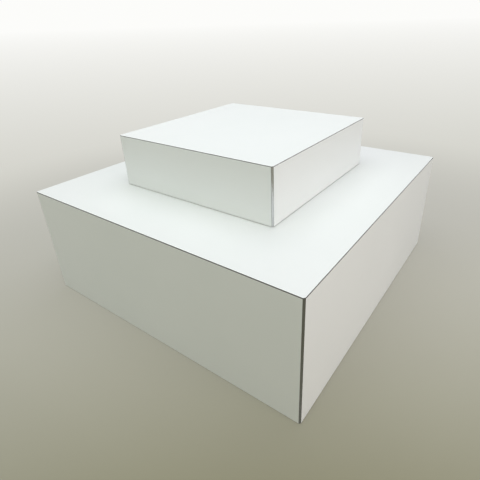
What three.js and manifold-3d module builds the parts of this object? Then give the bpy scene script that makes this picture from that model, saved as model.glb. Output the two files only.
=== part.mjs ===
// Two-tier shop display table: a wide square base with a smaller square riser standing loose on its deck.
// Each tier is a box of mitred boards, faced with white laminate sheets that have a dark core.
// A metal trim with a flat nose closes each upright corner. The base stands on four screw levellers.
// Millimetres, +Z up, origin on the floor under the middle of the table. The front faces -Y.

import * as THREE from "three";
import { mergeVertices } from "three/addons/utils/BufferGeometryUtils.js";
import Module from "manifold-3d";

const wasm = await Module();
wasm.setup();

// Driving dimensions: the two boxes, over the laminate
const BASE_WIDTH = 1200;
const BASE_BODY_HEIGHT = 450;
const FLOOR_GAP = 3;
const RISER_WIDTH = 700;
const RISER_BODY_HEIGHT = 198.5;

// Sheet stock and the glue between the sheets
const BOARD_THICKNESS = 18;
const LAMINATE_THICKNESS = 1.5;
const GLUE_LINE = 0.3;

// Corner trim: the two legs of its nose, its stem in the mitre, and the board left behind the stem
const TRIM_LEG = 5;
const TRIM_STEM_THICKNESS = 1.6;
const TRIM_STEM_COVER = 4;
const TRIM_FIT = 0.3;

// Timber inside the boxes
const BASE_POST = 45;
const RISER_BLOCK = 35;
const CLEAT_WIDTH = 30;
const CLEAT_HEIGHT = 40;
const RIB_HEIGHT = 140;
const HALVING_FIT = 0.3;

// Leveller, from the floor up
const FOOT_DIAMETER = 40;
const FOOT_HEIGHT = 9;
const FOOT_RIM_HEIGHT = 4;
const FOOT_CROWN_DIAMETER = 20;
const FOOT_WALL_GAP = 2;
const PIN_DIAMETER = 7;
const PIN_LENGTH = 5;
const COLLAR_ACROSS_FLATS = 17;
const COLLAR_HEIGHT = 6;
const SCREW_DIAMETER = 10;
const SCREW_LENGTH = 38;
const FLANGE_DIAMETER = 26;
const FLANGE_THICKNESS = 1.5;
const BARREL_DIAMETER = 13;
const BARREL_LENGTH = 14;
const RUNNING_FIT = 0.3;
const ROUND_SEGMENTS = 32;

// Non-slip pads under the riser
const GRIP_DIAMETER = 25;
const GRIP_THICKNESS = 1.2;

const laminateWhite = { color: 0xf1f3ef, roughness: 0.4, metalness: 0 };
const boardBrown = { color: 0xb8935f, roughness: 0.85, metalness: 0 };
const timberPale = { color: 0xd2ad78, roughness: 0.75, metalness: 0 };
const trimMetal = { color: 0xb4b7b8, roughness: 0.25, metalness: 1 };
const zincSteel = { color: 0xa9adb0, roughness: 0.35, metalness: 1 };
const footBlack = { color: 0x1c1c1d, roughness: 0.6, metalness: 0 };
const gripRubber = { color: 0x2b2b2c, roughness: 0.9, metalness: 0 };

const sides = ["front", "right", "back", "left"];
const corners = ["front_right", "back_right", "back_left", "front_left"];
const QUARTER_TURN = Math.PI / 2;
const DIAGONAL = Math.SQRT1_2;

function piece(name, geometry, finish) {
  const mesh = new THREE.Mesh(geometry, new THREE.MeshStandardMaterial(finish));
  mesh.name = name;
  return mesh;
}

function shapeOf(points) {
  return new THREE.Shape(points.map(([x, y]) => new THREE.Vector2(x, y)));
}

// An outline drawn in plan, raised from the level `low` to the level `high`
function upright(points, low, high) {
  const geometry = new THREE.ExtrudeGeometry(shapeOf(points), { depth: high - low, bevelEnabled: false });
  return geometry.translate(0, 0, low);
}

function block(lowX, highX, lowY, highY, lowZ, highZ) {
  const geometry = new THREE.BoxGeometry(highX - lowX, highY - lowY, highZ - lowZ);
  return geometry.translate((lowX + highX) / 2, (lowY + highY) / 2, (lowZ + highZ) / 2);
}

// A round piece standing on +Z from its half section: pairs of radius and height
function turned(section) {
  const profile = section.map(([radius, height]) => new THREE.Vector2(radius, height));
  return new THREE.LatheGeometry(profile, ROUND_SEGMENTS).rotateX(QUARTER_TURN);
}

function rod(diameter, low, high) {
  const radius = diameter / 2;
  return turned([[0, low], [radius, low], [radius, high], [0, high]]);
}

function solidOf(geometry) {
  geometry.deleteAttribute("normal");
  geometry.deleteAttribute("uv");
  const merged = mergeVertices(geometry);
  const vertProperties = merged.attributes.position.array;
  const triVerts = new Uint32Array(merged.index.array);
  return new wasm.Manifold(new wasm.Mesh({ numProp: 3, vertProperties, triVerts }));
}

function geometryOf(solid) {
  const { vertProperties, triVerts } = solid.getMesh();
  const geometry = new THREE.BufferGeometry();
  geometry.setAttribute("position", new THREE.BufferAttribute(vertProperties, 3));
  geometry.setIndex(new THREE.BufferAttribute(triVerts, 1));
  const faceted = geometry.toNonIndexed();
  faceted.computeVertexNormals();
  return faceted;
}

// The distances from the middle of a tier to its faces, in plan, and the levels of its sheets
function layOut(width, bodyHeight) {
  const face = width / 2;
  const boardFace = face - LAMINATE_THICKNESS - GLUE_LINE;
  const inside = boardFace - BOARD_THICKNESS;
  const trimHeel = face - TRIM_LEG;
  const stemLength = (trimHeel - inside - TRIM_STEM_COVER) / DIAGONAL;
  const skinTop = bodyHeight - LAMINATE_THICKNESS - GLUE_LINE;
  const boardUnderside = skinTop - BOARD_THICKNESS;
  const ceiling = boardUnderside - GLUE_LINE;
  return { face, boardFace, inside, trimHeel, stemLength, bodyHeight, skinTop, boardUnderside, ceiling };
}

// The front half of the recess that a corner trim needs, at the +X -Y corner, from the face to the kerf's end
function trimRecess(tier) {
  const edge = tier.trimHeel - TRIM_FIT;
  const kerfHalf = TRIM_STEM_THICKNESS / 2 + TRIM_FIT;
  const kerfEnd = tier.trimHeel - (tier.stemLength + TRIM_FIT) * DIAGONAL;
  return [
    [edge, -tier.boardFace],
    [edge, -edge - kerfHalf / DIAGONAL],
    [kerfEnd - kerfHalf * DIAGONAL, -kerfEnd - kerfHalf * DIAGONAL],
  ];
}

// A side board in plan: both ends mitred, each with half the recess of its corner trim
function sideBoardPlan(tier) {
  const recess = trimRecess(tier);
  const mitreHalf = GLUE_LINE / 2;
  const kerfEnd = tier.trimHeel - (tier.stemLength + TRIM_FIT) * DIAGONAL;
  const rightEnd = [
    ...recess,
    [kerfEnd - mitreHalf * DIAGONAL, -kerfEnd - mitreHalf * DIAGONAL],
    [tier.inside - mitreHalf / DIAGONAL, -tier.inside],
  ];
  const leftEnd = rightEnd.map(([x, y]) => [-x, y]).reverse();
  return [...rightEnd, ...leftEnd];
}

// The top board in plan: a square with a trim recess at each corner
function topBoardPlan(tier) {
  const frontHalf = trimRecess(tier);
  const rightHalf = frontHalf.map(([x, y]) => [-y, -x]).reverse();
  const corner = [...frontHalf, ...rightHalf];
  const turns = [
    ([x, y]) => [x, y],
    ([x, y]) => [-y, x],
    ([x, y]) => [-x, -y],
    ([x, y]) => [y, -x],
  ];
  return turns.flatMap((turn) => corner.map(turn));
}

// The top laminate in plan: a square with its corners cut level with the flat noses of the trims
function topLaminatePlan({ face, trimHeel }) {
  return [
    [trimHeel, -face], [face, -trimHeel], [face, trimHeel], [trimHeel, face],
    [-trimHeel, face], [-face, trimHeel], [-face, -trimHeel], [-trimHeel, -face],
  ];
}

// A corner trim in plan: the flat nose, its two legs, and the stem that runs back into the mitre
function trimPlan({ face, trimHeel, stemLength }) {
  const stemHalf = TRIM_STEM_THICKNESS / 2;
  const stemEnd = trimHeel - stemLength * DIAGONAL;
  return [
    [trimHeel, -face],
    [face, -trimHeel],
    [trimHeel + stemHalf / DIAGONAL, -trimHeel],
    [stemEnd + stemHalf * DIAGONAL, -stemEnd + stemHalf * DIAGONAL],
    [stemEnd - stemHalf * DIAGONAL, -stemEnd - stemHalf * DIAGONAL],
    [trimHeel, -trimHeel - stemHalf / DIAGONAL],
  ];
}

// One quarter of a tier's box: a side board with its laminate, and the trim at its right-hand corner
function sideQuarter(tierName, tier, quarter) {
  const edge = tier.trimHeel - TRIM_FIT;
  const board = upright(sideBoardPlan(tier), 0, tier.ceiling);
  const skin = block(-edge, edge, -tier.face, -tier.face + LAMINATE_THICKNESS, 0, tier.skinTop);
  const trim = upright(trimPlan(tier), 0, tier.skinTop);
  const group = new THREE.Group();
  group.rotation.z = quarter * QUARTER_TURN;
  group.add(
    piece(`${tierName}_${sides[quarter]}_board`, board, boardBrown),
    piece(`${tierName}_${sides[quarter]}_laminate`, skin, laminateWhite),
    piece(`${tierName}_corner_trim_${corners[quarter]}`, trim, trimMetal),
  );
  return group;
}

function topSheets(tierName, tier) {
  const board = upright(topBoardPlan(tier), tier.boardUnderside, tier.skinTop);
  const skin = upright(topLaminatePlan(tier), tier.skinTop + GLUE_LINE, tier.bodyHeight);
  return [
    piece(`${tierName}_top_board`, board, boardBrown),
    piece(`${tierName}_top_laminate`, skin, laminateWhite),
  ];
}

// Levels of the leveller's pieces above the floor, wound right in
const collarLow = FOOT_HEIGHT + RUNNING_FIT;
const collarHigh = collarLow + COLLAR_HEIGHT;
const flangeLow = collarHigh + RUNNING_FIT;
const flangeHigh = flangeLow + FLANGE_THICKNESS;
const postLow = flangeHigh + GLUE_LINE;
const screwHigh = collarHigh + SCREW_LENGTH;
const barrelHigh = flangeHigh + BARREL_LENGTH;

// A foot pad: flat underneath, domed on top, with a blind socket for the screw's pin
function footPad() {
  const socket = PIN_DIAMETER / 2 + RUNNING_FIT;
  const socketFloor = collarLow - PIN_LENGTH - RUNNING_FIT;
  return turned([
    [0, 0],
    [FOOT_DIAMETER / 2, 0],
    [FOOT_DIAMETER / 2, FOOT_RIM_HEIGHT],
    [FOOT_CROWN_DIAMETER / 2, FOOT_HEIGHT],
    [socket, FOOT_HEIGHT],
    [socket, socketFloor],
    [0, socketFloor],
  ]);
}

// A leveller screw: a pin in the foot pad, a hexagon collar for a spanner, and the screw above it
function levellerScrew() {
  const hexagonSides = 6;
  const cornerRadius = COLLAR_ACROSS_FLATS / 2 / Math.cos(Math.PI / hexagonSides);
  const collar = new THREE.CylinderGeometry(cornerRadius, cornerRadius, COLLAR_HEIGHT, hexagonSides);
  collar.rotateX(QUARTER_TURN).translate(0, 0, collarLow + COLLAR_HEIGHT / 2);
  const middle = (collarLow + collarHigh) / 2;
  const pin = rod(PIN_DIAMETER, collarLow - PIN_LENGTH, middle);
  const shank = rod(SCREW_DIAMETER, middle, screwHigh);
  return geometryOf(solidOf(collar).add(solidOf(pin)).add(solidOf(shank)));
}

// A flanged insert: its barrel is let into the post and its flange sits under the post
function levellerInsert() {
  const bore = SCREW_DIAMETER / 2 + RUNNING_FIT;
  return turned([
    [bore, flangeLow],
    [FLANGE_DIAMETER / 2, flangeLow],
    [FLANGE_DIAMETER / 2, flangeHigh],
    [BARREL_DIAMETER / 2, flangeHigh],
    [BARREL_DIAMETER / 2, barrelHigh],
    [bore, barrelHigh],
    [bore, flangeLow],
  ]);
}

// A corner post in the inside corner, bored from below for the insert and for the screw above it
function basePost(tier, axis) {
  const outer = tier.inside - GLUE_LINE;
  const inner = outer - BASE_POST;
  const timber = block(inner, outer, -outer, -inner, postLow, FLOOR_GAP + tier.ceiling);
  const barrelBore = rod(BARREL_DIAMETER + 2 * GLUE_LINE, flangeLow, barrelHigh + GLUE_LINE);
  const screwBore = rod(SCREW_DIAMETER + 2 * RUNNING_FIT, flangeLow, screwHigh + RUNNING_FIT);
  barrelBore.translate(axis, -axis, 0);
  screwBore.translate(axis, -axis, 0);
  return geometryOf(solidOf(timber).subtract(solidOf(barrelBore)).subtract(solidOf(screwBore)));
}

// A base corner: the post with its insert, and the leveller that screws up into it
function baseCorner(tier, quarter) {
  const corner = corners[quarter];
  const footReach = FOOT_DIAMETER / 2 + FOOT_WALL_GAP;
  const axis = tier.inside - Math.max(GLUE_LINE + BASE_POST / 2, footReach);
  const leveller = new THREE.Group();
  leveller.position.set(axis, -axis, 0);
  leveller.add(
    piece(`leveller_insert_${corner}`, levellerInsert(), zincSteel),
    piece(`leveller_screw_${corner}`, levellerScrew(), zincSteel),
    piece(`leveller_foot_${corner}`, footPad(), footBlack),
  );
  const group = new THREE.Group();
  group.rotation.z = quarter * QUARTER_TURN;
  group.add(piece(`base_post_${corner}`, basePost(tier, axis), timberPale), leveller);
  return group;
}

// A cleat under the top board, along one side board, between two posts
function baseCleat(tier, quarter) {
  const outer = tier.inside - GLUE_LINE;
  const reach = outer - BASE_POST - GLUE_LINE;
  const high = FLOOR_GAP + tier.ceiling;
  const timber = block(-reach, reach, -outer, -outer + CLEAT_WIDTH, high - CLEAT_HEIGHT, high);
  const group = new THREE.Group();
  group.rotation.z = quarter * QUARTER_TURN;
  group.add(piece(`base_cleat_${sides[quarter]}`, timber, timberPale));
  return group;
}

// A rib on edge under the top board, seen from the side: its upper ends are cut out round the cleats,
// and a slot at mid length halves it over the other rib, from above or from below
function ribSide(tier, slotFromAbove) {
  const end = tier.inside - GLUE_LINE;
  const shoulder = end - CLEAT_WIDTH - GLUE_LINE;
  const high = FLOOR_GAP + tier.ceiling;
  const low = high - RIB_HEIGHT;
  const notchLow = high - CLEAT_HEIGHT - GLUE_LINE;
  const slot = BOARD_THICKNESS / 2 + HALVING_FIT;
  const slotEnd = high - RIB_HEIGHT / 2 + (slotFromAbove ? -1 : 1) * HALVING_FIT / 2;
  const slotMouth = slotFromAbove ? high : low;
  const slotPoints = [[-slot, slotMouth], [-slot, slotEnd], [slot, slotEnd], [slot, slotMouth]];
  const bottom = [[-end, low], ...(slotFromAbove ? [] : slotPoints), [end, low]];
  const rightEnd = [[end, notchLow], [shoulder, notchLow], [shoulder, high]];
  const leftEnd = [[-shoulder, high], [-shoulder, notchLow], [-end, notchLow]];
  const top = slotFromAbove ? [...slotPoints].reverse() : [];
  return [...bottom, ...rightEnd, ...top, ...leftEnd];
}

function baseRib(name, tier, slotFromAbove) {
  const rib = upright(ribSide(tier, slotFromAbove), -BOARD_THICKNESS / 2, BOARD_THICKNESS / 2);
  return piece(name, rib.rotateX(QUARTER_TURN), boardBrown);
}

// A riser corner: the block in the inside corner, and the non-slip pad stuck under it
function riserCorner(tier, quarter) {
  const corner = corners[quarter];
  const outer = tier.inside - GLUE_LINE;
  const inner = outer - RISER_BLOCK;
  const middle = (inner + outer) / 2;
  const timber = block(inner, outer, -outer, -inner, 0, tier.ceiling);
  const grip = piece(`riser_grip_${corner}`, rod(GRIP_DIAMETER, 0, GRIP_THICKNESS), gripRubber);
  grip.position.set(middle, -middle, -GLUE_LINE - GRIP_THICKNESS);
  const group = new THREE.Group();
  group.rotation.z = quarter * QUARTER_TURN;
  group.add(piece(`riser_block_${corner}`, timber, timberPale), grip);
  return group;
}

const quarters = [0, 1, 2, 3];

const baseTier = layOut(BASE_WIDTH, BASE_BODY_HEIGHT);
const baseBox = new THREE.Group();
baseBox.position.z = FLOOR_GAP;
baseBox.add(...topSheets("base", baseTier));
baseBox.add(...quarters.map((quarter) => sideQuarter("base", baseTier, quarter)));

const ribAcross = baseRib("base_rib_left_right", baseTier, true);
const ribAlong = baseRib("base_rib_front_back", baseTier, false);
ribAlong.rotation.z = QUARTER_TURN;

const base = new THREE.Group();
base.add(baseBox, ribAcross, ribAlong);
base.add(...quarters.map((quarter) => baseCorner(baseTier, quarter)));
base.add(...quarters.map((quarter) => baseCleat(baseTier, quarter)));

const riserTier = layOut(RISER_WIDTH, RISER_BODY_HEIGHT);
const riser = new THREE.Group();
riser.position.z = FLOOR_GAP + BASE_BODY_HEIGHT + GRIP_THICKNESS + GLUE_LINE;
riser.add(...topSheets("riser", riserTier));
riser.add(...quarters.map((quarter) => sideQuarter("riser", riserTier, quarter)));
riser.add(...quarters.map((quarter) => riserCorner(riserTier, quarter)));

const table = new THREE.Group();
table.add(base, riser);

export default table;
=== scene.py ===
import math

import bmesh
import bpy
from mathutils import Matrix, Vector


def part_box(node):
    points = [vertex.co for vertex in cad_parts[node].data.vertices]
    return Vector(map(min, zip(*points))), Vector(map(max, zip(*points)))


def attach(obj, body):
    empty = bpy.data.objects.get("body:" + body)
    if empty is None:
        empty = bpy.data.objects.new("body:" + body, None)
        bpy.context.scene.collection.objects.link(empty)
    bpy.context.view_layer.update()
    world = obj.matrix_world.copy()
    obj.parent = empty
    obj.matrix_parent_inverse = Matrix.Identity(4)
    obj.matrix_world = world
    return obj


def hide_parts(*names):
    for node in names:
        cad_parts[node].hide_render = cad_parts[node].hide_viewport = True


# A two-tier shop display table: a wide laminated base on screw levellers, and a smaller riser box that
# stands loose on its deck. Metres, +Z up. The front faces -Y, and sides and corners go round from there.
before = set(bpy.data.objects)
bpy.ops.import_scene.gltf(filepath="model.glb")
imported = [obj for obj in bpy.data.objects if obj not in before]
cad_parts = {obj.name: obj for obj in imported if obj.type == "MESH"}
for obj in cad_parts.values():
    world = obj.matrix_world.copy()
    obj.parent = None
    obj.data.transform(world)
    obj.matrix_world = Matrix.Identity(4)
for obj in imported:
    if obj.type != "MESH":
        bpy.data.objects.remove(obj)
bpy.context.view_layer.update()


# Foot pads
# Four black discs moulded in nylon, with an upright rim, a domed shoulder and a hollow underside.
# A blind socket in the crown snaps over the pin of the leveller screw, which turns in it.
corners = ("front_right", "back_right", "back_left", "front_left")
up = Vector((0, 0, 1))
facing = 0.95
sharp_turn = math.radians(20)
smooth_turn = math.radians(35)


def start_piece(name, primitive, **sizes):
    """Adds a primitive under that name with nothing else selected, and opens it for shaping."""
    bpy.ops.object.select_all(action="DESELECT")
    primitive(**sizes)
    bpy.ops.object.transform_apply()
    piece = bpy.context.object
    piece.name = name
    bpy.ops.object.mode_set(mode="EDIT")
    bpy.ops.mesh.select_mode(type="VERT")
    return piece


def pick_faces(piece, direction):
    """Selects the faces that look in this direction, and no others."""
    bpy.ops.mesh.select_mode(type="FACE")
    bpy.ops.mesh.select_all(action="DESELECT")
    shape = bmesh.from_edit_mesh(piece.data)
    for face in shape.faces:
        face.select_set(face.normal.dot(direction.normalized()) > facing)
    bmesh.update_edit_mesh(piece.data)


def ease_sharp_edges(offset, segments):
    """Rounds every edge where two faces meet at a sharp turn."""
    bpy.ops.mesh.select_mode(type="EDGE")
    bpy.ops.mesh.select_all(action="DESELECT")
    bpy.ops.mesh.edges_select_sharp(sharpness=sharp_turn)
    bpy.ops.mesh.bevel(offset=offset, segments=segments, affect="EDGES")


def close_piece(piece, *finishes):
    """Ends the shaping: faces outwards, round stretches smooth, and the finishes in its material slots."""
    bpy.ops.mesh.select_all(action="SELECT")
    bpy.ops.mesh.normals_make_consistent(inside=False)
    bpy.ops.object.mode_set(mode="OBJECT")
    bpy.ops.object.shade_smooth_by_angle(angle=smooth_turn)
    for finish in finishes:
        piece.data.materials.append(finish)


def copy_round(piece, places):
    """The piece and its copies by place, each a quarter turn on from the last about the table's middle."""
    stem = piece.name.removesuffix(places[0])
    copies = {places[0]: piece}
    for quarter, place in enumerate(places[1:], 1):
        copy = piece.copy()
        copy.data = piece.data.copy()
        copy.data.transform(Matrix.Rotation(quarter * math.pi / 2, 4, "Z"))
        copy.name = stem + place
        bpy.context.collection.objects.link(copy)
        copies[place] = copy
    return copies


def fit(piece, body, node):
    """The piece stands for a node of the frame and moves with its body."""
    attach(piece, body)
    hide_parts(node)


class Value:
    """What runs along one link of a finish. Sums on it add Math nodes, and node() adds any other node."""

    def __init__(self, socket):
        self.socket = socket

    def node(self, kind, settings=None, inputs=None, output=None):
        """Adds a node of this kind, makes its settings, then feeds its inputs, and gives one output."""
        tree = self.socket.id_data
        made = tree.nodes.new("ShaderNode" + kind)
        for setting, choice in (settings or {}).items():
            setattr(made, setting, choice)
        sockets = {socket.identifier: socket for socket in made.inputs}
        for name, value in (inputs or {}).items():
            if isinstance(value, Value):
                tree.links.new(value.socket, sockets[name])
            else:
                sockets[name].default_value = value
        outputs = {socket.identifier: socket for socket in made.outputs}
        return Value(outputs[output] if output else next(iter(outputs.values()), None))

    def math(self, operation, first, second):
        """The two numbers, put through a Math node of this operation."""
        return self.node("Math", {"operation": operation}, {"Value": first, "Value_001": second})

    def __add__(self, other):
        return self.math("ADD", self, other)

    __radd__ = __add__

    def __sub__(self, other):
        return self.math("SUBTRACT", self, other)

    def __rsub__(self, other):
        return self.math("SUBTRACT", other, self)

    def __mul__(self, other):
        return self.math("MULTIPLY", self, other)

    __rmul__ = __mul__

    def __rtruediv__(self, other):
        return self.math("DIVIDE", other, self)

    def __pow__(self, other):
        return self.math("POWER", self, other)

    def fade(self, low, high):
        """0 where this value is under low, 1 where it is over high, and smooth between."""
        limits = {"Value": self, "From Min": low, "From Max": high}
        return self.node("MapRange", {"interpolation_type": "SMOOTHSTEP"}, limits)

    def between(self, low, high):
        """A colour that goes from low to high as this value goes from 0 to 1."""
        ends = [end if isinstance(end, Value) else (*end, 1.0) for end in (low, high)]
        colours = {"Factor_Float": self, "A_Color": ends[0], "B_Color": ends[1]}
        return self.node("Mix", {"data_type": "RGBA"}, colours, "Result_Color")

    def spots(self, scale, detail=2.0, roughness=0.5):
        """Soft spots from 0 to 1, about that many to the metre, where this value is a place."""
        sizes = {"Vector": self, "Scale": scale, "Detail": detail, "Roughness": roughness}
        return self.node("TexNoise", inputs=sizes)

    def stretched(self, scale):
        """This place with its axes scaled, to draw a pattern out along one of them."""
        return self.node("Mapping", inputs={"Vector": self, "Scale": scale})

    def relief(self, depth, strength=1.0):
        """A bumped normal, where this value is the height from 0 to 1."""
        return self.node("Bump", inputs={"Height": self, "Distance": depth, "Strength": strength})


def make_finish(name, surface):
    """A material. surface(where) gives the shader's inputs from the place on the object."""
    material = bpy.data.materials.new(name)
    material.use_nodes = True
    material.node_tree.nodes.clear()
    where = Value(material.node_tree.nodes.new("ShaderNodeTexCoord").outputs["Object"])
    shader = where.node("BsdfPrincipled", inputs=surface(where))
    where.node("OutputMaterial", inputs={"Surface": shader})
    return material


def black_nylon(where):
    grain = where.spots(1800.0, 3.0)
    dust = where.spots(140.0, 5.0, 0.65).fade(0.5, 0.8)
    return {
        "Base Color": dust.between((0.016, 0.016, 0.017), (0.05, 0.048, 0.044)),
        "Roughness": 0.42 + 0.16 * grain + 0.15 * dust,
        "Normal": grain.relief(0.0001, 0.5),
    }


foot_low, foot_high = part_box("leveller_foot_front_right")
foot_radius = (foot_high.x - foot_low.x) / 2
foot_axis = (foot_low + foot_high) / 2
foot_sides = 64
foot_softness = 0.0004
rim_height = 0.004
shoulder_run = 0.0045
shoulder_rise = 0.0033
crown_radius = 0.010
socket_radius = 0.0038
socket_depth = 0.005
sole_width = 0.0035
hollow_depth = 0.0012

foot_pad = start_piece(
    "foot_pad_front_right",
    bpy.ops.mesh.primitive_cylinder_add,
    vertices=foot_sides,
    radius=foot_radius,
    depth=rim_height,
    location=(foot_axis.x, foot_axis.y, foot_low.z + rim_height / 2),
)
pick_faces(foot_pad, up)
bpy.ops.mesh.inset(thickness=shoulder_run, depth=shoulder_rise)
crown_rise = foot_high.z - foot_low.z - rim_height - shoulder_rise
bpy.ops.mesh.inset(thickness=foot_radius - shoulder_run - crown_radius, depth=crown_rise)
bpy.ops.mesh.inset(thickness=crown_radius - socket_radius)
bpy.ops.mesh.extrude_region_move(TRANSFORM_OT_translate={"value": (0, 0, -socket_depth)})
pick_faces(foot_pad, -up)
bpy.ops.mesh.inset(thickness=sole_width)
bpy.ops.mesh.extrude_region_move(TRANSFORM_OT_translate={"value": (0, 0, hollow_depth)})
ease_sharp_edges(offset=foot_softness, segments=3)
close_piece(foot_pad, make_finish("black_nylon", black_nylon))
for corner, piece in copy_round(foot_pad, corners).items():
    fit(piece, f"foot_{corner}", f"leveller_foot_{corner}")


# Leveller screws and inserts
# Four turned steel screws, zinc plated: a pin for the foot pad, a hexagon collar for a spanner, and a
# 10 mm thread of 1.5 mm pitch. Each runs up into a flanged steel insert that is let into a corner post.
def bright_zinc(where):
    crystals = where.spots(420.0, 4.0, 0.6)
    patches = where.spots(60.0, 3.0)
    return {
        "Base Color": patches.between((0.50, 0.52, 0.55), (0.64, 0.64, 0.61)),
        "Metallic": 1.0,
        "Roughness": 0.24 + 0.22 * crystals,
        "Normal": crystals.relief(0.00004, 0.4),
    }


zinc = make_finish("bright_zinc", bright_zinc)
for corner in corners:
    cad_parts[f"leveller_insert_{corner}"].material_slots[0].material = zinc

screw_low, screw_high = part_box("leveller_screw_front_right")
pin_radius = 0.0035
pin_length = 0.005
pin_chamfer = 0.0006
pin_sides = 48
collar_across_flats = 0.017
collar_height = 0.006
collar_softness = 0.0005
thread_radius = 0.005
thread_root = 0.0041
thread_pitch = 0.0015
thread_crest = 0.0002
thread_steps = 24
seam_tolerance = 0.00001
cut_tolerance = 0.000001
collar_low = screw_low.z + pin_length
collar_high = collar_low + collar_height
collar_middle = (collar_low + collar_high) / 2

# The thread: one tooth drawn as a line, wound up the screw and cut off square at both ends
thread = start_piece(
    "thread",
    bpy.ops.mesh.primitive_plane_add,
    size=thread_crest,
    location=(thread_root, 0, collar_middle - thread_pitch),
)
bpy.ops.mesh.merge(type="CENTER")
tooth_height = thread_radius - thread_root
tooth_flank = (thread_pitch - thread_crest) / 2
for step in ((tooth_height, 0, tooth_flank), (0, 0, thread_crest), (-tooth_height, 0, tooth_flank)):
    bpy.ops.mesh.extrude_vertices_move(TRANSFORM_OT_translate={"value": step})
bpy.ops.object.mode_set(mode="OBJECT")
winding = thread.modifiers.new("winding", "SCREW")
winding.screw_offset = thread_pitch
winding.iterations = math.ceil((screw_high.z - collar_middle) / thread_pitch) + 2
winding.steps = winding.render_steps = thread_steps
bpy.ops.object.modifier_apply(modifier="winding")
bpy.ops.object.mode_set(mode="EDIT")
bpy.ops.mesh.select_all(action="SELECT")
bpy.ops.mesh.remove_doubles(threshold=seam_tolerance)
for level, direction in ((collar_middle, -1), (screw_high.z, 1)):
    bpy.ops.mesh.select_all(action="SELECT")
    bpy.ops.mesh.bisect(
        plane_co=(0, 0, level),
        plane_no=(0, 0, direction),
        use_fill=True,
        clear_outer=True,
        threshold=cut_tolerance,
    )
bpy.ops.mesh.select_all(action="SELECT")
bpy.ops.mesh.normals_make_consistent(inside=False)
bpy.ops.object.mode_set(mode="OBJECT")

pin = start_piece(
    "pin",
    bpy.ops.mesh.primitive_cylinder_add,
    vertices=pin_sides,
    radius=pin_radius,
    depth=collar_middle - screw_low.z,
    location=(0, 0, (screw_low.z + collar_middle) / 2),
)
pick_faces(pin, -up)
bpy.ops.mesh.bevel(offset=pin_chamfer, segments=2, affect="EDGES")
bpy.ops.object.mode_set(mode="OBJECT")

screw = start_piece(
    "levelling_screw_front_right",
    bpy.ops.mesh.primitive_cylinder_add,
    vertices=6,
    radius=collar_across_flats / 2 / math.cos(math.pi / 6),
    depth=collar_height,
    location=(0, 0, collar_middle),
)
ease_sharp_edges(offset=collar_softness, segments=2)
bpy.ops.object.mode_set(mode="OBJECT")
for turned in (pin, thread):
    union = screw.modifiers.new("union", "BOOLEAN")
    union.operation = "UNION"
    union.object = turned
    bpy.ops.object.modifier_apply(modifier="union")
    bpy.data.objects.remove(turned)
screw.location = (foot_axis.x, foot_axis.y, 0)
bpy.ops.object.transform_apply()
bpy.ops.object.mode_set(mode="EDIT")
close_piece(screw, zinc)
for corner, piece in copy_round(screw, corners).items():
    fit(piece, f"screw_{corner}", f"leveller_screw_{corner}")


# Posts, blocks and cleats
# Planed softwood, sawn along the grain and glued in the corners and under the base deck: four posts in
# the base that take the levellers, four blocks in the riser, and four cleats between the posts.
sides = ("front", "right", "back", "left")


def planed_softwood(along):
    """The finish of a piece whose grain runs along that axis, 0 for X, 1 for Y and 2 for Z."""
    drawn_out = tuple(0.04 if axis == along else 1.0 for axis in range(3))

    def surface(where):
        grain = where.stretched(drawn_out)
        wander = grain.spots(28.0, 3.0)
        rings = grain.node(
            "TexWave",
            {"wave_type": "BANDS", "bands_direction": "DIAGONAL", "wave_profile": "SAW"},
            {"Vector": grain, "Scale": 120.0, "Distortion": 4.0, "Detail": 2.0, "Detail Scale": 0.5},
            "Fac",
        )
        fibres = grain.spots(1500.0, 3.0, 0.6)
        late_wood = rings.fade(0.25, 1.0)
        pale = wander.between((0.62, 0.43, 0.24), (0.70, 0.51, 0.30))
        return {
            "Base Color": (0.6 * late_wood + 0.2 * fibres).between(pale, (0.44, 0.25, 0.11)),
            "Roughness": 0.58 + 0.18 * fibres,
            "Normal": (fibres + 0.6 * late_wood).relief(0.00012, 0.5),
        }

    return surface


upright_timber = make_finish("softwood_upright", planed_softwood(2))
for corner in corners:
    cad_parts[f"base_post_{corner}"].material_slots[0].material = upright_timber
    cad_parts[f"riser_block_{corner}"].material_slots[0].material = upright_timber
cleat_timber = [
    make_finish("softwood_left_to_right", planed_softwood(0)),
    make_finish("softwood_front_to_back", planed_softwood(1)),
]
for quarter, side in enumerate(sides):
    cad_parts[f"base_cleat_{side}"].material_slots[0].material = cleat_timber[quarter % 2]


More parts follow.
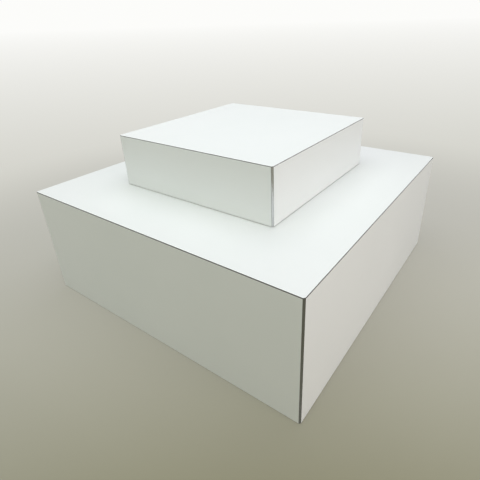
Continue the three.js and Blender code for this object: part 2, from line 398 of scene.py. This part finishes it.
# Carcass boards and ribs
# 18 mm chipboard: wood flakes pressed with resin, raw on the inside. The side boards are mitred at the
# corners and glued, the top boards lie on them, and two ribs halve over each other under the base deck.
def raw_chipboard(through):
    """The finish of a board whose thickness runs along that axis, 0 for X, 1 for Y and 2 for Z."""
    pressed = tuple(4.0 if axis == through else 1.0 for axis in range(3))

    def surface(where):
        bent = where.node(
            "VectorMath",
            {"operation": "MULTIPLY_ADD"},
            {"Vector": where.node("TexNoise", inputs={"Vector": where, "Scale": 300.0}, output="Color"),
             "Vector_001": (0.004, 0.004, 0.004), "Vector_002": where.stretched(pressed)},
        )
        flakes = bent.node("TexVoronoi", inputs={"Vector": bent, "Scale": 330.0}, output="Color")
        tone = flakes.node("SeparateColor", inputs={"Color": flakes}, output="Red")
        dust = where.spots(900.0, 4.0, 0.65)
        wood = tone.fade(0.0, 1.0).between((0.40, 0.27, 0.15), (0.62, 0.46, 0.29))
        sanded = dust.fade(0.35, 0.75).between(wood, (0.54, 0.40, 0.25))
        dark_chips = tone.fade(0.92, 0.97)
        return {
            "Base Color": dark_chips.between(sanded, (0.21, 0.13, 0.07)),
            "Roughness": 0.72 + 0.16 * dust,
            "Normal": (0.7 * tone + 0.5 * dust).relief(0.0002, 0.6),
        }

    return surface


board_finishes = [
    make_finish("chipboard_left_to_right", raw_chipboard(0)),
    make_finish("chipboard_front_to_back", raw_chipboard(1)),
    make_finish("chipboard_flat", raw_chipboard(2)),
]
for tier in ("base", "riser"):
    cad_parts[f"{tier}_top_board"].material_slots[0].material = board_finishes[2]
    for quarter, side in enumerate(sides):
        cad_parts[f"{tier}_{side}_board"].material_slots[0].material = board_finishes[1 - quarter % 2]
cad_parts["base_rib_left_right"].material_slots[0].material = board_finishes[1]
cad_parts["base_rib_front_back"].material_slots[0].material = board_finishes[0]


# Corner trims
# A drawn aluminium section closes each upright corner: a flat nose at 45 degrees, level with the laminate,
# and a thin stem pressed into a saw cut in the mitre. The trims of the base are painted darker than those of
# the riser: painted shade that stands for the dark floor they mirror. Those of the riser keep the metal's
# tone.
trim_leg = 0.005
stem_thickness = 0.0016
nose_softness = 0.0004
nose_outward = Vector((1, -1, 0))
same_place = 0.0003


def pick_edges(piece, wanted):
    """Selects the edges for which wanted(middle, direction) holds, and no others."""
    bpy.ops.mesh.select_mode(type="EDGE")
    bpy.ops.mesh.select_all(action="DESELECT")
    shape = bmesh.from_edit_mesh(piece.data)
    for edge in shape.edges:
        start, end = (vertex.co for vertex in edge.verts)
        edge.select_set(wanted((start + end) / 2, (end - start).normalized()))
    bmesh.update_edit_mesh(piece.data)


def satin_aluminium(dull, clean):
    """The finish of a trim whose drawing lines run from the dull tone to the clean one."""

    def surface(where):
        lines = where.stretched((1.0, 1.0, 0.004)).spots(5200.0, 3.0, 0.6)
        handling = where.spots(34.0, 4.0, 0.6)
        return {
            "Base Color": lines.between(dull, clean),
            "Metallic": 1.0,
            "Roughness": 0.16 + 0.10 * lines + 0.08 * handling,
            "Normal": lines.relief(0.00002, 0.25),
        }

    return surface


trim_finishes = {
    # The base's tones are painted darker, a painted reflection of the dark floor below its trims.
    "base": make_finish("scuffed_aluminium", satin_aluminium((0.30, 0.31, 0.35), (0.36, 0.37, 0.41))),
    "riser": make_finish("clean_aluminium", satin_aluminium((0.57, 0.58, 0.59), (0.64, 0.65, 0.66))),
}
for tier in ("base", "riser"):
    low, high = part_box(f"{tier}_corner_trim_front_right")
    nose_middle = Vector((high.x - trim_leg / 2, low.y + trim_leg / 2, (low.z + high.z) / 2))
    trim = start_piece(
        f"{tier}_trim_front_right",
        bpy.ops.mesh.primitive_cube_add,
        size=1,
        location=nose_middle,
        scale=(trim_leg, trim_leg, high.z - low.z),
    )
    bpy.ops.mesh.bisect(plane_co=nose_middle, plane_no=nose_outward, use_fill=True, clear_outer=True)
    heel = nose_middle + Vector((-trim_leg / 2, trim_leg / 2, 0))
    pick_edges(trim, lambda middle, direction: (middle - heel).length < same_place)
    stem_cut = stem_thickness * math.sqrt(0.5)
    bpy.ops.mesh.bevel(offset=stem_cut, segments=1, affect="EDGES")
    stem_run = heel.x - low.x
    pick_faces(trim, -nose_outward)
    bpy.ops.mesh.extrude_region_move(TRANSFORM_OT_translate={"value": (-stem_run, stem_run, 0)})
    ahead_of_heel = heel.x - heel.y + trim_leg / 2
    pick_edges(
        trim,
        lambda middle, direction: abs(direction.z) > facing and middle.x - middle.y > ahead_of_heel,
    )
    bpy.ops.mesh.bevel(offset=nose_softness, segments=3, affect="EDGES")
    close_piece(trim, trim_finishes[tier])
    for corner, piece in copy_round(trim, corners).items():
        fit(piece, tier, f"{tier}_corner_trim_{corner}")


# Side sheets
# High-pressure laminate 1.5 mm thick, glued to the outside of each side board: a white satin face with a
# fine pebbled press texture, over a dark resin core that shows wherever the sheet is cut.
arris = 0.0003
base_top_easing = 0.0008


def white_face(where):
    cloud = where.spots(2.6, 3.0)
    pebbles = where.spots(1100.0, 2.0)
    smudges = where.spots(7.0, 6.0, 0.62)
    return {
        "Base Color": cloud.fade(0.3, 0.7).between((0.848, 0.884, 0.858), (0.868, 0.900, 0.876)),
        "Roughness": 0.34 + 0.12 * smudges + 0.05 * pebbles,
        "Normal": pebbles.relief(0.00003, 0.35),
    }


def dark_core(where):
    layers = where.spots(2400.0, 2.0)
    return {
        "Base Color": layers.between((0.026, 0.023, 0.021), (0.048, 0.041, 0.036)),
        "Roughness": 0.5 + 0.2 * layers,
    }


laminate_finishes = (
    make_finish("white_laminate_face", white_face),
    make_finish("laminate_core", dark_core),
)


def trim_sheet(sheet, outward, easing):
    """Eases the edge round the white face of a sheet, which looks outward, and bares the core elsewhere."""
    pick_faces(sheet, outward)
    bpy.ops.mesh.bevel(offset=easing, segments=1, affect="EDGES")
    close_piece(sheet, *laminate_finishes)
    bpy.ops.object.shade_flat()
    for face in sheet.data.polygons:
        face.material_index = 0 if face.normal.dot(outward) > facing else 1


def start_sheet(name, node):
    """A plain sheet in the place of a node of the frame."""
    low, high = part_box(node)
    return start_piece(
        name,
        bpy.ops.mesh.primitive_cube_add,
        size=1,
        location=(low + high) / 2,
        scale=high - low,
    )


for tier in ("base", "riser"):
    sheet = start_sheet(f"{tier}_face_sheet_front", f"{tier}_front_laminate")
    if tier == "base":
        low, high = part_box("base_front_laminate")
        top_edge = Vector((0, low.y, high.z))
        pick_edges(sheet, lambda middle, direction: (middle - top_edge).length < same_place)
        bpy.ops.mesh.bevel(offset=base_top_easing, segments=1, affect="EDGES")
    trim_sheet(sheet, Vector((0, -1, 0)), arris)
    for side, piece in copy_round(sheet, sides).items():
        fit(piece, tier, f"{tier}_{side}_laminate")


# Deck sheets
# The same laminate laid over the top of each tier last, so that its dark edge shows as a fine line above
# the side sheets. The corners are cut off level with the noses of the trims.
for tier in ("base", "riser"):
    sheet = start_sheet(f"{tier}_deck_sheet", f"{tier}_top_laminate")
    pick_edges(sheet, lambda middle, direction: abs(direction.z) > facing)
    bpy.ops.mesh.bevel(offset=trim_leg, segments=1, affect="EDGES")
    trim_sheet(sheet, up, base_top_easing if tier == "base" else arris)
    fit(sheet, tier, f"{tier}_top_laminate")


# Grip pads
# Four discs of black rubber, punched from sheet and stuck under the corner blocks of the riser, which
# keep the riser from sliding on the deck and its panels just clear of it.
def grip_rubber(where):
    nap = where.spots(2600.0, 3.0, 0.6)
    bloom = where.spots(180.0, 4.0).fade(0.45, 0.8)
    return {
        "Base Color": bloom.between((0.022, 0.022, 0.023), (0.045, 0.044, 0.043)),
        "Roughness": 0.78 + 0.14 * nap,
        "Normal": nap.relief(0.00008, 0.6),
    }


grip_low, grip_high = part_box("riser_grip_front_right")
grip_middle = (grip_low + grip_high) / 2
grip_radius = (grip_high.x - grip_low.x) / 2
grip_sides = 48
groove_width = 0.0012
groove_depth = 0.0003
groove_spacing = 0.003
groove_count = 3
grip_pad = start_piece(
    "grip_pad_front_right",
    bpy.ops.mesh.primitive_cylinder_add,
    vertices=grip_sides,
    radius=grip_radius,
    depth=grip_high.z - grip_low.z,
    location=grip_middle,
)
pick_faces(grip_pad, -up)
for groove in range(groove_count):
    bpy.ops.mesh.inset(thickness=groove_spacing - groove_width)
    bpy.ops.mesh.inset(thickness=groove_width / 2, depth=-groove_depth)
    bpy.ops.mesh.inset(thickness=groove_width / 2, depth=groove_depth)
close_piece(grip_pad, make_finish("grip_rubber", grip_rubber))
for corner, piece in copy_round(grip_pad, corners).items():
    fit(piece, "riser", f"riser_grip_{corner}")


# Floor
# A plain pale studio floor, matt, which goes off into a white distance from where the camera stands.
# Part of its tone is laid on for the eye alone, which softens the shadow of the table.
floor_size = 160.0
floor_near = (0.275, 0.266, 0.175)
distance_white = (0.975, 0.975, 0.955)
camera_place = Vector((0.93507, -1.24265, 1.03593))
camera_azimuth = 0.63217
standpoint = (camera_place.x, camera_place.y, 0.0)
haze_breadth = 1.8
haze_start = 0.5
haze_rate = 0.55
haze_floor_end = 0.09
haze_by_table = 0.45
table_reach = 1.0
shadow_reach = 2.6


def seen_by_eye(value):
    """1 for what the camera sees, straight or in a polished surface, and 0 for light that is thrown back."""
    rays = ("Is Camera Ray", "Is Glossy Ray", "Is Transmission Ray")
    straight, mirrored, through = (value.node("LightPath", output=ray) for ray in rays)
    return straight + mirrored + through


bpy.ops.object.select_all(action="DESELECT")
bpy.ops.mesh.primitive_plane_add(size=floor_size)
floor = bpy.context.object
floor.name = "floor"
floor_finish = bpy.data.materials.new("floor")
floor_finish.use_nodes = True
floor_finish.node_tree.nodes.clear()
where = Value(floor_finish.node_tree.nodes.new("ShaderNodeTexCoord").outputs["Object"])
seen = seen_by_eye(where)
view = {"Location": standpoint, "Rotation": (0.0, 0.0, camera_azimuth), "Scale": (haze_breadth, 1.0, 1.0)}
ahead = where.node("Mapping", {"vector_type": "TEXTURE"}, {"Vector": where, **view})
away = ahead.node("VectorMath", {"operation": "LENGTH"}, {"Vector": ahead}, "Value")
nearness = (1 + haze_floor_end) * (2 * haze_start / (away + haze_start)) ** haze_rate - haze_floor_end
tone = nearness.between(distance_white, floor_near)
haze = where.node("Emission", inputs={"Color": tone, "Strength": 1.0})
paint = where.node("BsdfDiffuse", inputs={"Color": tone})
from_middle = where.node("VectorMath", {"operation": "LENGTH"}, {"Vector": where}, "Value")
share = haze_by_table + (1 - haze_by_table) * from_middle.fade(table_reach, shadow_reach)
layers = {"Fac": seen * share, "Shader": paint, "Shader_001": haze}
where.node("OutputMaterial", inputs={"Surface": where.node("MixShader", inputs=layers)})
floor.data.materials.append(floor_finish)


# Studio light
# Three softboxes, lamps behind stretched white cloth: one overhead, one to the right of the table and one
# off its front, all turned to the table. Filters keep their glare off the satin decks, which mirror only
# the pale room all round.
lamp_target = Vector((0.0, 0.0, 0.4))


def softbox(name, place, width, power, colour):
    """A square lamp of that width in metres and power in watts, turned to the table."""
    bpy.ops.object.light_add(type="AREA", location=place)
    lamp = bpy.context.object
    lamp.name = name
    lamp.rotation_euler = (lamp_target - Vector(place)).to_track_quat("-Z", "Y").to_euler()
    lamp.data.size = width
    lamp.data.energy = power
    lamp.data.color = colour
    lamp.visible_glossy = False


softbox("overhead_softbox", (0.0, 0.0, 3.2), 3.0, 58.5, (0.911, 0.951, 1.0))
softbox("right_softbox", (3.2, -0.7, 1.25), 2.0, 37.0, (1.0, 0.925, 0.915))
softbox("front_softbox", (-0.3, -3.1, 2.4), 2.4, 20.0, (0.911, 1.0, 0.76))

room_light = (0.319, 0.304, 0.313)
room = bpy.data.worlds.new("room")
bpy.context.scene.world = room
room.use_nodes = True
room.node_tree.nodes.clear()
seen = seen_by_eye(Value(room.node_tree.nodes.new("ShaderNodeLightPath").outputs["Is Camera Ray"]))
glow = seen.node("Background", inputs={"Color": seen.between(room_light, distance_white), "Strength": 1.0})
seen.node("OutputWorld", inputs={"Surface": glow})


# Camera
# It stands off the front right corner, a little above the riser, and looks down on both decks.
# Its place, its turn and its lens follow the edges of the table in the photo. Pixels are the photo's.
camera_elevation = 0.47382
camera_roll = -0.03278
photo_width = 480
focal_length = 389.367
lens_axis = (254.98, 218.02)
sensor_width = 36.0

bpy.ops.object.camera_add()
camera = bpy.context.object
turn = Matrix.Rotation(camera_azimuth, 4, "Z") @ Matrix.Rotation(math.pi / 2 - camera_elevation, 4, "X")
camera.matrix_world = Matrix.Translation(camera_place) @ turn @ Matrix.Rotation(camera_roll, 4, "Z")
camera.data.sensor_width = sensor_width
camera.data.lens = focal_length / photo_width * sensor_width
camera.data.shift_x = 0.5 - lens_axis[0] / photo_width
camera.data.shift_y = lens_axis[1] / photo_width - 0.5
bpy.context.scene.camera = camera
bpy.context.scene.view_settings.view_transform = "Standard"
